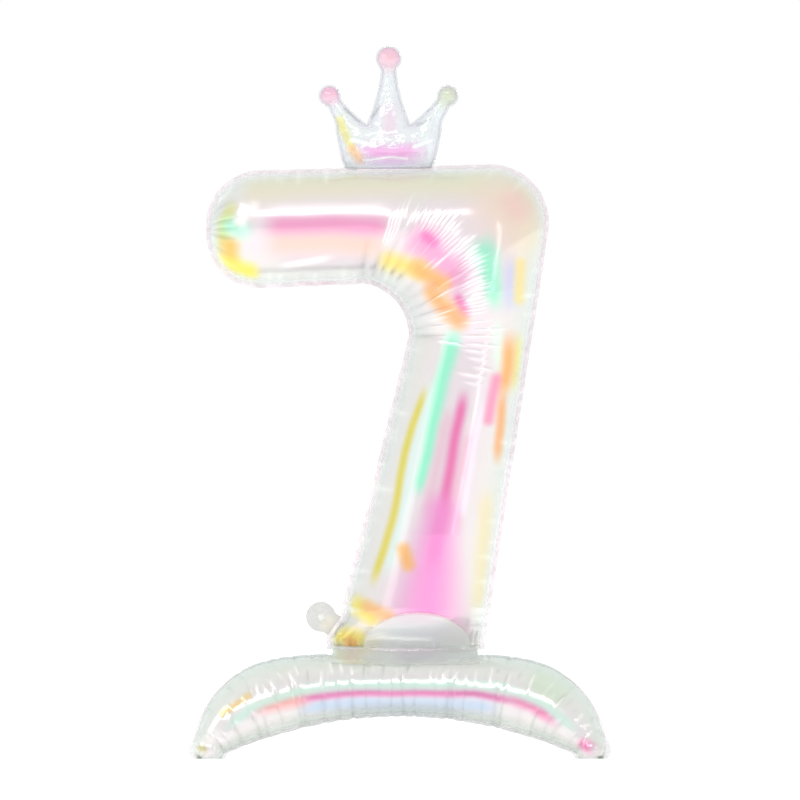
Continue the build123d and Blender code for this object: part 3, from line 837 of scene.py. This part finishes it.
@dataclass
class Numeral:
    """The seven: a front and a back film, the sheet that closes its neck, and the valve inside."""

    size: NumeralSize = field(default_factory=NumeralSize)

    def bend_centre(self) -> Point:
        """Centre of the inner bend."""
        s = self.size
        bend = np.array(s.bend)
        to_arm = np.array([-s.arm_reach, s.arm_low]) - bend
        to_foot = np.array(s.stem_low) - bend
        to_arm, to_foot = to_arm / np.linalg.norm(to_arm), to_foot / np.linalg.norm(to_foot)
        half = math.acos(float(to_arm @ to_foot)) / 2
        way = (to_arm + to_foot) / np.linalg.norm(to_arm + to_foot)
        centre = bend + way * s.bend_radius / math.sin(half)
        return float(centre[0]), float(centre[1])

    def film(self) -> Film:
        """The numeral's film with its creases; stations 1 arm, 2 bend, 3 stem, 4 neck, 5 foot."""
        s = self.size
        centre_x, centre_z = self.bend_centre()
        straight = centre_x + s.arm_reach - s.arm_end_radius
        bend_foot = centre_z + centre_x * math.tan(math.radians(s.stem_lean))
        swell = s.neck + s.neck_rise
        counts = (46, 56, 280, 170, 56)
        stations, starts, headings = [], [], []
        for stage, count in enumerate(counts):
            for share in np.arange(count + (stage == 4)) / count:
                stations.append(stage + share)
                heading = 90.0
                if stage == 0:
                    start = (s.arm_end_radius * (1 - math.cos(math.pi / 2 * share)) - s.arm_reach, centre_z)
                elif stage == 1:
                    start = (s.arm_end_radius - s.arm_reach + straight * share, centre_z)
                elif stage == 2:
                    start, heading = (centre_x, centre_z), 90 - (90 + s.stem_lean) * share
                elif stage == 3:
                    heading = -s.stem_lean * (1 - share)
                    height = bend_foot + (swell - bend_foot) * share
                    start = (-s.arm_reach, height - s.arm_reach * math.tan(math.radians(heading)))
                else:
                    start, heading = (-s.arm_reach, swell - s.neck_rise * share), 0.0
                starts.append(start)
                headings.append(heading)
        stations, starts, headings = np.array(stations), np.array(starts), np.array(headings)

        def depth_of(half_width: np.ndarray, height: np.ndarray) -> np.ndarray:
            """Round tubes that thin down to the neck and close at the arm's free end."""
            full = np.minimum(s.roundness * half_width, s.depth)
            closing = np.sin(np.clip(stations, 0, 1) * math.pi / 2) ** 0.25
            share = np.clip((height - s.neck) / s.neck_rise, 0, 1)
            thinned = s.neck_depth + (full - s.neck_depth) * np.sin(math.pi / 2 * share)
            return np.where(stations > 4, thinned, full * closing)

        made = Film(Outline.rounded(s.corners()), stations, starts, headings, depth_of, 116)
        made.press(self.creases())
        return made

    def creases(self) -> list[Crease]:
        """The numeral's puckers, the fine ridges round the bend and the crumples at the foot."""
        chance = random.Random(7)
        found = edge_puckers(chance, 0.2, 2.0, 15, 0, 0.5)
        found += edge_puckers(chance, 0.2, 2.9, 30, 1, 0.45)
        found += edge_puckers(chance, 3.0, 5.0, 34, 0, 0.5)
        found += edge_puckers(chance, 2.9, 5.0, 32, 1, 0.4)
        for index in range(11):
            station = 2.06 + 0.085 * index + chance.uniform(-0.02, 0.02)
            height = chance.uniform(-1.9, -0.9)
            across, reach = chance.uniform(0.02, 0.12), chance.uniform(0.22, 0.42)
            found.append(Crease(station, across, reach, height, chance.uniform(3.5, 5.5)))
        for index in range(34):
            station = 2.25 + 0.0165 * index + chance.uniform(-0.003, 0.003)
            middle = float(np.interp(station, (2.25, 2.46, 2.75), (0.6, 0.46, 0.53)))
            middle += chance.uniform(-0.02, 0.02)
            height = chance.uniform(0.75, 1.25)
            found.append(Crease(station, middle, chance.uniform(0.08, 0.14), height, 1.0, slant=0.02))
        for index in range(4):
            found.append(Crease(2.16 + 0.017 * index, 0.42 + 0.04 * index, 0.26, 1.1, 1.1, slant=0.03))
        for row in NUMERAL_WRINKLES:
            found += row.creases(chance)
        return found

    def build(self) -> None:
        """Builds the numeral's pieces and fixes them to their body."""
        s = self.size
        film = self.film()
        # pearly ground with paler painted edge shading and the painted reflections and highlights
        paint = Paint("E6E3E6", "F0EEF3", NUMERAL_PAINTED_SHEEN, 0.75)
        for side in Side:
            work = film.sheet(side)
            face_out(work, side)
            add_lip(work, s.lip, s.neck + 0.3)
            piece = finished(f"numeral_{side.word}", work, paint, PEARL)
            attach(piece, "number")
            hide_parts(f"number_{side.word}_film")
        self.build_gusset(paint)
        self.build_valve()

    def build_gusset(self, paint: Paint) -> None:
        """Builds the sheet that closes the neck, with the fold strips that the feet hang on."""
        s = self.size
        work = bmesh.new()
        rim = bmesh.ops.create_circle(work, cap_ends=True, radius=1, segments=96)["verts"]
        bmesh.ops.scale(work, vec=Vector((s.gusset_reach, s.neck_depth, 1)) * MM, verts=rim)
        for side in Side:
            strip = bmesh.ops.create_cube(work, size=1)["verts"]
            bmesh.ops.scale(work, vec=Vector(s.fold_strip) * MM, verts=strip)
            place = Vector((0, side.value * s.fold_place, -s.fold_strip[2] / 2)) * MM
            bmesh.ops.translate(work, vec=place, verts=strip)
        bmesh.ops.translate(work, vec=Vector((s.neck_x, 0, s.neck - 0.4)) * MM, verts=work.verts)
        piece = finished("neck_gusset", work, paint, SEAL_CLEAR)
        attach(piece, "number")
        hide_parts("base_gusset")

    def build_valve(self) -> None:
        """Builds the two flat valve strips inside the numeral, behind the inflation tab."""
        tab = TabPlace()
        length, width, start = 26, 16, 6.9
        paint = Paint("E6E8EC", "DCDADE", ())
        for side in Side:
            work = bmesh.new()
            bmesh.ops.create_grid(work, x_segments=20, y_segments=14, size=0.5)
            for vert in work.verts:
                puff = side.value * (0.45 + 0.15 * math.cos(math.pi * vert.co.y))
                vert.co = tab.point((vert.co.x - 0.5) * length - start, vert.co.y * width, puff)
            bmesh.ops.recalc_face_normals(work, faces=work.faces)
            piece = finished(f"valve_strip_{side.word}", work, paint, SEAL_CLEAR)
            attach(piece, "number")
            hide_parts(f"valve_{side.word}_film")


# ---------------------------------------------------------------- inflation tab
@dataclass(frozen=True)
class TabPlace:
    """Where the tab is: its root's middle, the way it points, and its sizes in mm."""

    high: Point = NumeralSize.stem_low
    low: Point = NumeralSize.stem_notch
    gap: float = 5.5
    reach: float = 15.0
    width: float = 25.0
    radius: float = 16.5
    hole: float = 4.0

    def point(self, along: float, over: float, back: float) -> Vector:
        """A point in metres, from mm along the tab, over it sideways, and to the back."""
        way = Vector((self.low[0] - self.high[0], self.low[1] - self.high[1])).normalized()
        out = Vector((way.y, -way.x))
        if out.x > 0:
            out = -out
        middle = Vector(((self.high[0] + self.low[0]) / 2, (self.high[1] + self.low[1]) / 2)) + out * self.gap
        place = middle + out * along + way * over
        return Vector((place.x, back, place.y)) * MM


@dataclass
class Tab:
    """The inflation tab: two films with the fill hole in the front one."""

    place: TabPlace = field(default_factory=TabPlace)

    def edge_reach(self, angle: float) -> float:
        """Distance from the centre of the round end to the tab's edge, in mm."""
        p = self.place
        x, y = math.cos(angle), abs(math.sin(angle))
        if x >= 0:
            return p.radius
        root = (p.reach + 3.0) / -x
        side = p.width / 2 / y if y > 1e-6 else 1e9
        return min(max(min(root, side), p.radius), root)

    def build(self) -> None:
        """Builds both films."""
        p = self.place
        rings, turns = 14, 96
        paint = Paint("DEDEDC", "C4C4C8", (Streak("F6F0D8", 0.6, (5, 5), ((-82, 140), (-76, 146))),), 0.6)
        for side in Side:
            inner = p.hole if side is Side.FRONT else 0.02
            work = bmesh.new()
            bmesh.ops.create_grid(work, x_segments=turns, y_segments=rings, size=0.5)
            for vert in work.verts:
                angle, share = (vert.co.x + 0.5) * math.tau, vert.co.y + 0.5
                reach = inner + (self.edge_reach(angle) - inner) * share
                uneven = 0.8 + 0.4 * math.sin(5 * angle + 1)
                puff = 0.25 + math.sin(math.pi * min(share / 0.85, 1)) * uneven
                puff += 0.35 * math.exp(-(((reach - p.hole - 1.2) / 0.8) ** 2))
                puff *= side.value * (share < 1)
                vert.co = p.point(p.reach + reach * math.cos(angle), reach * math.sin(angle), puff)
            bmesh.ops.remove_doubles(work, verts=work.verts, dist=WELD)
            face_out(work, side)
            piece = finished(f"tab_{side.word}", work, paint, SEAL_CLEAR)
            p.point(-2.2, 0, 0)
            p.point(1.0, 0, 0)
            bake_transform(piece)
            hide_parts(f"inflation_tab_{side.word}_film")


# ---------------------------------------------------------------- feet
@dataclass(frozen=True)
class FootSize:
    """Sizes of a foot in mm and degrees."""

    lean: float = 36.0
    hinge_y: float = 12.0
    hinge_z: float = 109.0
    half_length: float = 222.0
    top: float = 103.4
    arch: float = 47.6
    tip_inner: Point = (190.0, 8.0)
    tip: Point = (212.0, -3.0)
    tip_turn: float = 50.0
    top_turn: float = 83.0
    roundness: float = 0.84
    lip: float = 4.0


@dataclass
class Foot:
    """One foot of the base: an outer and an inner film, leaning out from its fold line."""

    side: Side
    word: str
    size: FootSize = field(default_factory=FootSize)

    def upright(self, x: float, height: float) -> Point:
        """The (x, z) of the upright foot that comes to this height once it leans."""
        return x, (height - self.size.hinge_z) / math.cos(math.radians(self.size.lean))

    def outline(self) -> Outline:
        """The weld's outline, upright."""
        s = self.size
        points = []
        for share in np.linspace(-1, 1, 181):
            reach = math.sin(math.radians(s.top_turn) * share)
            points.append(self.upright(s.half_length * reach, s.top * (1 - abs(reach) ** 4.5) ** 0.47))
        end = points[-1]
        tip, inner = self.upright(*s.tip), self.upright(*s.tip_inner)
        right = self.arc(end, tip, inner)
        arch = self.arc(inner, self.upright(0, s.arch), (-inner[0], inner[1]))
        left = [(-x, z) for x, z in reversed(right)]
        return Outline(np.array(points + right[1:] + arch[1:-1] + left[:-1]))

    @staticmethod
    def arc(start: Point, middle: Point, end: Point, steps: int = 60) -> list[Point]:
        """Points on the arc through three points."""
        (ax, ay), (bx, by), (cx, cy) = start, middle, end
        twice = 2 * (ax * (by - cy) + bx * (cy - ay) + cx * (ay - by))
        first, second, third = ax * ax + ay * ay, bx * bx + by * by, cx * cx + cy * cy
        x = (first * (by - cy) + second * (cy - ay) + third * (ay - by)) / twice
        y = (first * (cx - bx) + second * (ax - cx) + third * (bx - ax)) / twice
        radius = math.hypot(ax - x, ay - y)
        angles = [math.atan2(v - y, u - x) for u, v in (start, middle, end)]
        to_middle = (angles[1] - angles[0] + math.pi) % math.tau - math.pi
        to_end = (angles[2] - angles[1] + math.pi) % math.tau - math.pi
        turn = to_middle + to_end
        sweep = (angles[0] + turn * step / steps for step in range(steps + 1))
        return [(x + radius * math.cos(angle), y + radius * math.sin(angle)) for angle in sweep]

    def film(self) -> Film:
        """The foot's film: stations from -2 at the left tip's end to 2 at the right tip's end."""
        s = self.size
        outline = self.outline()
        body_rows, tip_rows = 190, 26
        right = []
        for share in np.linspace(0, 1, body_rows, endpoint=False):
            x, z = self.upright(share * s.tip_inner[0], s.arch - (s.arch - s.tip_inner[1]) * share**2)
            right.append((share, x, z, 90 - s.tip_turn * share**2))
        x, z = self.upright(*s.tip_inner)
        heading = 90 - s.tip_turn
        across = np.array([math.cos(math.radians(heading - 90)), math.sin(math.radians(heading - 90))])
        furthest = ((outline.points - np.array([x, z])) @ across).max() - 0.05
        for share in np.linspace(0, 1, tip_rows):
            place = np.array([x, z]) + across * furthest * math.sin(math.pi / 2 * share)
            right.append((1 + share, place[0], place[1], heading))
        rows = np.array([(-a, -b, c, 180 - d) for a, b, c, d in reversed(right)] + right[1:])
        stations, starts, headings = rows[:, 0], rows[:, 1:3], rows[:, 3]
        way = np.stack([np.cos(np.radians(headings)), np.sin(np.radians(headings))], axis=1)
        starts = starts - np.where(np.abs(stations) < 1, 30, 90)[:, None] * way

        def depth_of(half_width: np.ndarray, height: np.ndarray) -> np.ndarray:
            """A foot is nearly as deep as it is wide."""
            return s.roundness * half_width

        return Film(outline, stations, starts, headings, depth_of, 62)

    def creases(self, seed: int) -> list[Crease]:
        """Long puckers from the lower weld up to the crest, and short ones along the upper weld."""
        chance = random.Random(seed)
        return [crease for row in FOOT_WRINKLES for crease in row.creases(chance)]

    def leaning(self) -> Matrix:
        """Takes the upright front foot to its place, in metres; the rear foot is its mirror image."""
        s = self.size
        turn = Matrix.Rotation(math.radians(-s.lean), 4, "X")
        place = Matrix.Translation((0, -s.hinge_y * MM, s.hinge_z * MM)) @ turn
        return place if self.side is Side.FRONT else Matrix.Scale(-1, 4, (0, 1, 0)) @ place

    def build(self) -> None:
        """Builds both films, presses the tips flat on the floor and fixes them to the foot."""
        # pearly ground with paler painted edge shading and the painted reflections and highlights
        paint = Paint("E6E9E8", "ECECF0", BASE_PAINTED_SHEEN, 0.7)
        film = self.film()
        film.press(self.creases(11 if self.side is Side.FRONT else 12))
        for side, word, floor in ((Side.FRONT, "outer", 0.3), (Side.BACK, "inner", 0.7)):
            work = film.sheet(side, 7.0)
            bmesh.ops.remove_doubles(work, verts=work.verts, dist=WELD)
            face_out(work, side)
            add_lip(work, self.size.lip)
            bmesh.ops.transform(work, matrix=self.leaning(), verts=work.verts)
            if self.side is Side.BACK:
                bmesh.ops.reverse_faces(work, faces=work.faces)
            for vert in work.verts:
                vert.co.z = max(vert.co.z, floor * MM)
            piece = finished(f"{self.word}_foot_{word}", work, paint, BASE_PEARL)
            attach(piece, f"{self.word}_foot")
            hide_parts(f"{self.word}_foot_{word}_film")
        # the apron's paint: painted reflection tints and a pale painted highlight line along its edges
        self.build_apron(Paint("ECEEF0", "F8F4E8", APRON_PAINTED_SHEEN, 0.8))

    def apron_point(self, x: float, down: float) -> Vector:
        """A point of the apron in mm, on the numeral's lower end and then down to the foot's crest.

        Args:
            x: place across the neck.
            down: from 0 at the apron's upper edge to 1 on the foot.

        Returns:
            The point, on the front side.
        """
        n = NumeralSize()
        dome_x, dome_reach, dome_rise, meets_neck = 19, 58, 39, 0.8
        dome = dome_rise * math.sqrt(max(1 - ((x - dome_x) / dome_reach) ** 2, 0))
        upper = n.neck + 4 + dome
        height = upper + (n.neck + 1.6 - upper) * min(down / meets_neck, 1)
        (low_x, low_z), (high_x, high_z) = n.stem_notch, n.stem_low
        left = float(np.interp(height, (low_z, high_z), (low_x, high_x)))
        right = n.neck_right + n.right_lean * (height - n.neck)
        half = (right - left) / 2
        rise = math.sin(math.pi / 2 * min((height - n.neck) / n.neck_rise, 1))
        depth = n.neck_depth + (min(n.roundness * half, n.depth) - n.neck_depth) * rise + 1.5
        round_share = ((x - (left + right) / 2) / (half + 1.5)) ** 2
        place = Vector((x, -depth * math.sqrt(max(1 - round_share, 0)), height))
        if down > meets_neck:
            share = (down - meets_neck) / (1 - meets_neck)
            crest, low = Vector((x * 1.01, -36, 108.4)), Vector((x * 1.03, -55, 100.8 + 1.2 * (x / 84) ** 2))
            place = place * (1 - share) ** 2 + crest * 2 * share * (1 - share) + low * share**2
        return place

    def build_apron(self, paint: Paint) -> None:
        """Builds the domed apron that joins the numeral's lower end to the crest of the foot."""
        middle, half_width = NumeralSize.neck_x, 79.5
        work = bmesh.new()
        bmesh.ops.create_grid(work, x_segments=170, y_segments=46, size=0.5)
        rim = work.verts.layers.float.new("rim")
        for vert in work.verts:
            down = 0.5 - vert.co.y
            place = self.apron_point(middle + half_width * vert.co.x * 2, down)
            near = math.exp(-(((down - 0.76) / 0.1) ** 2))
            broad = noise.noise(Vector((place.x * 0.16, 0, down * 2.5)))
            fine = 0.6 * noise.noise(Vector((place.x * 0.5, 3, down)))
            place.y -= near * (0.8 + broad + fine)
            place.y -= near * 1.5 * noise.noise(Vector((place.x * 0.045, 5, down * 34)))
            place.z += near * 0.9 * noise.noise(Vector((place.x * 0.06, 7, down * 6)))
            # rim marks where the pale painted highlight line goes: fully at the upper edge, weaker at the lower
            # edge
            upper, lower = smooth(0.0, 0.07, np.array(down)), smooth(0.93, 1.0, np.array(down))
            vert[rim] = max(1 - float(upper), 0.6 * float(lower))
            vert.co = Vector((place.x, -self.side.value * place.y, place.z)) * MM
        face_out(work, self.side)
        piece = finished(f"{self.word}_apron", work, paint, APRON_PEARL)
        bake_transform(piece)


# ---------------------------------------------------------------- crown
@dataclass(frozen=True)
class CrownSize:
    """Sizes of the crown in mm."""

    x: float = -12.5
    z: float = 647.6
    foot_width: float = 98.0
    band_width: float = 115.0
    band_height: float = 41.0
    depth: float = 20.0
    top_depth: float = 13.0
    seam_depth: float = 1.8
    horn_radius: float = 6.5
    root_height: float = 27.0
    middle_root: float = 31.0
    side_root: float = 20.0
    side_root_x: float = 33.0
    middle_height: float = 117.0
    side_height: float = 76.0
    side_reach: float = 65.0
    middle_ball: float = 12.5
    side_ball: float = 10.5
    lip: float = 2.0
    overlap: float = 5.0


@dataclass
class Crown:
    """The crown: a front and a back film round the band, three horns and three balls."""

    size: CrownSize = field(default_factory=CrownSize)

    @staticmethod
    def lathe(work: bmesh.types.BMesh, profile: Sequence[Point], steps: int = 64) -> list[bmesh.types.BMVert]:
        """Spins a closed profile of (radius, height) points, in mm, round the Z axis."""
        chain = [work.verts.new((radius * MM, 0, height * MM)) for radius, height in profile]
        edges = [work.edges.new(pair) for pair in zip(chain, chain[1:])]
        whole = {"cent": (0, 0, 0), "axis": (0, 0, 1), "angle": math.tau, "use_merge": True}
        bmesh.ops.spin(work, geom=chain + edges, steps=steps, **whole)
        fresh, made = set(chain), set(chain)
        while fresh:
            fresh = {edge.other_vert(vert) for vert in fresh for edge in vert.link_edges} - made
            made |= fresh
        return list(made)

    def horn(self, work: bmesh.types.BMesh, root: Point, tip: Point, radius: float, ball: float) -> None:
        """Adds one waisted horn with its ball; root and tip are (x, z) in mm."""
        start, end = Vector((root[0], 0, root[1])) * MM, Vector((tip[0], 0, tip[1])) * MM
        length = (end - start).length / MM
        neck = self.size.horn_radius
        profile = [(0.0, 0.0)]
        for share in np.linspace(0, 1, 24):
            waist = neck + (radius - neck) * (1 - share) ** 2
            profile.append((waist, length * share))
        profile.append((0.0, length))
        made = self.lathe(work, profile)
        for vert in made:
            around = max(math.hypot(vert.co.x, vert.co.y) / MM, 1e-6)
            vert.co.y *= 17 * math.tanh(around / 17) / around
        turn = Vector((0, 0, 1)).rotation_difference(end - start).to_matrix().to_4x4()
        bmesh.ops.transform(work, matrix=Matrix.Translation(start) @ turn, verts=made)
        sphere = bmesh.ops.create_uvsphere(work, u_segments=48, v_segments=32, radius=ball * MM)["verts"]
        bmesh.ops.translate(work, vec=end, verts=sphere)

    def body(self) -> bpy.types.Mesh:
        """The whole crown as one closed skin."""
        s = self.size
        work = bmesh.new()
        half_foot, flare = s.foot_width / 2, (s.band_width - s.foot_width) / 2
        profile = [(0.0, -s.overlap)]
        for share in np.linspace(-s.overlap / s.band_height, 1, 26):
            profile.append((half_foot + flare * share, s.band_height * share))
        profile.append((0.0, s.band_height))
        for vert in self.lathe(work, profile, 128):
            rise = vert.co.z / MM / s.band_height
            depth = np.interp(rise, (0, 0.08, 0.35, 0.7, 1), (s.seam_depth, 10, s.depth, 17.5, s.top_depth))
            vert.co.y *= depth / (half_foot + flare * rise)
            vert.co += Vector((s.x, 0, s.z)) * MM
        root_z = s.z + s.root_height
        self.horn(work, (s.x, root_z), (s.x, s.z + s.middle_height), s.middle_root, s.middle_ball)
        for side in (-1, 1):
            root = (s.x + side * s.side_root_x, root_z)
            self.horn(work, root, (s.x + side * s.side_reach, s.z + s.side_height), s.side_root, s.side_ball)
        bmesh.ops.recalc_face_normals(work, faces=work.faces)
        holder = placed("crown_body", mesh_of(work, "crown_body"))
        remesh = holder.modifiers.new("skin", "REMESH")
        remesh.mode, remesh.voxel_size = "VOXEL", 0.0011
        skin = bpy.data.meshes.new_from_object(holder.evaluated_get(bpy.context.evaluated_depsgraph_get()))
        bpy.data.objects.remove(holder)
        return skin

    def build(self) -> None:
        """Builds both films, crumpled and given a weld lip."""
        s = self.size
        skin = self.body()
        # clear ground with greyer painted edge shading, painted reflections, highlights and shade
        paint = Paint("EAEAEE", "C4C2CA", CROWN_PAINTED_SHEEN_AND_SHADE, 0.85, 1.2)
        for side in Side:
            work = bmesh.new()
            work.from_mesh(skin)
            every = {"use_axis_x": True, "use_axis_y": True, "use_axis_z": True}
            for _ in range(12):
                bmesh.ops.smooth_vert(work, verts=work.verts, factor=0.5, **every)
            for vert in work.verts:
                height = vert.co.z / MM - s.z
                crumple = noise.noise(vert.co * 80) * 1.2 + 0.5 * abs(noise.noise(vert.co * 190))
                fold = 1.6 * math.exp(-(((height - 12) / 9) ** 2)) * noise.noise(Vector((vert.co.x * 210, 0, 1)))
                vert.co += vert.normal * (crumple + fold) * MM * min(max(abs(vert.co.y) / 0.004, 0), 1)
            geometry = [*work.verts, *work.edges, *work.faces]
            weld = {"plane_co": (0, 0, 0), "plane_no": (0, side.value, 0)}
            bmesh.ops.bisect_plane(work, geom=geometry, dist=1e-6, clear_inner=True, **weld)
            rim = work.verts.layers.float.new("rim")
            for vert in work.verts:
                if abs(vert.co.y) < 1e-5:
                    vert.co.y = 0
                # rim: nearness to the weld, for the greyer painted edge shading
                vert[rim] = 1 - float(smooth(0, 4.5, np.array(abs(vert.co.y) / MM)))
            add_lip(work, s.lip, s.z - s.overlap + 0.8, 5)
            piece = finished(f"crown_{side.word}", work, paint, CROWN_CLEAR)
            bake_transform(piece)
            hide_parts(f"crown_{side.word}_film")


# ---------------------------------------------------------------- studio
@dataclass
class Studio:
    """Pale floor, soft light all round, and a long-lens camera straight in front."""

    width: float = 0.88
    distance: float = 6.0
    height: float = 0.389
    room: float = 0.84

    def area(self, name: str, place: Vector, target: Vector, size: Point, watts: float) -> None:
        """Adds a soft area light that points at a target."""
        lamp = bpy.data.lights.new(name, "AREA")
        lamp.shape, lamp.size, lamp.size_y, lamp.energy = "RECTANGLE", size[0], size[1], watts
        made = placed(name, lamp)
        made.location = place
        made.rotation_euler = (target - place).to_track_quat("-Z", "Y").to_euler()

    def build(self) -> None:
        """Builds the floor, the lights and the camera."""
        scene = bpy.context.scene
        scene.view_settings.view_transform = "Standard"
        world = bpy.data.worlds.new("studio")
        world.use_nodes = True
        tree = world.node_tree
        way = node(tree, "ShaderNodeTexCoord", {}, output="Generated")
        depth = node(tree, "ShaderNodeSeparateXYZ", {}, (way,), output="Y")
        grade = {"Value": depth, "From Min": -0.3, "From Max": 0.9, "To Min": self.room, "To Max": 1.0}
        light = node(tree, "ShaderNodeMapRange", {"interpolation_type": "SMOOTHSTEP"}, grade, output="Result")
        tree.links.new(light.socket, tree.nodes["Background"].inputs["Strength"])
        tree.nodes["Background"].inputs["Color"].default_value = (1, 1, 1, 1)
        scene.world = world
        work = bmesh.new()
        bmesh.ops.create_grid(work, x_segments=1, y_segments=1, size=28)
        floor = placed("floor", mesh_of(work, "floor"))
        floor.data.materials.append(PlainFinish("floor_white", "F4F4F4", glow=0.45).material())
        middle = Vector((0, 0, self.height))
        self.area("top_strip", Vector((-0.3, -2.4, 1.95)), middle, (1.7, 0.3), 10)
        self.area("key", Vector((-2.2, -1.6, 2.2)), middle, (1.2, 1.2), 9)
        self.area("strip_left", Vector((-1.9, -1.9, 0.4)), middle, (0.7, 1.5), 1.5)
        self.area("strip_right", Vector((1.5, -2.2, 0.8)), middle, (0.1, 1.4), 1.2)
        lens = bpy.data.cameras.new("camera")
        lens.sensor_width = 36
        lens.lens = 36 * self.distance / self.width
        lens.clip_end = 60
        camera = placed("camera", lens)
        camera.location = (0, -self.distance, self.height)
        camera.rotation_euler = (math.pi / 2, 0, 0)
        scene.camera = camera


def main() -> None:
    """Builds every piece in order."""
    logging.basicConfig(level=logging.INFO, format="%(name)s: %(message)s")
    Numeral().build()
    Tab().build()
    Crown().build()
    Foot(Side.FRONT, "front").build()
    Foot(Side.BACK, "rear").build()
    Studio().build()


if __name__ == "__main__":
    main()
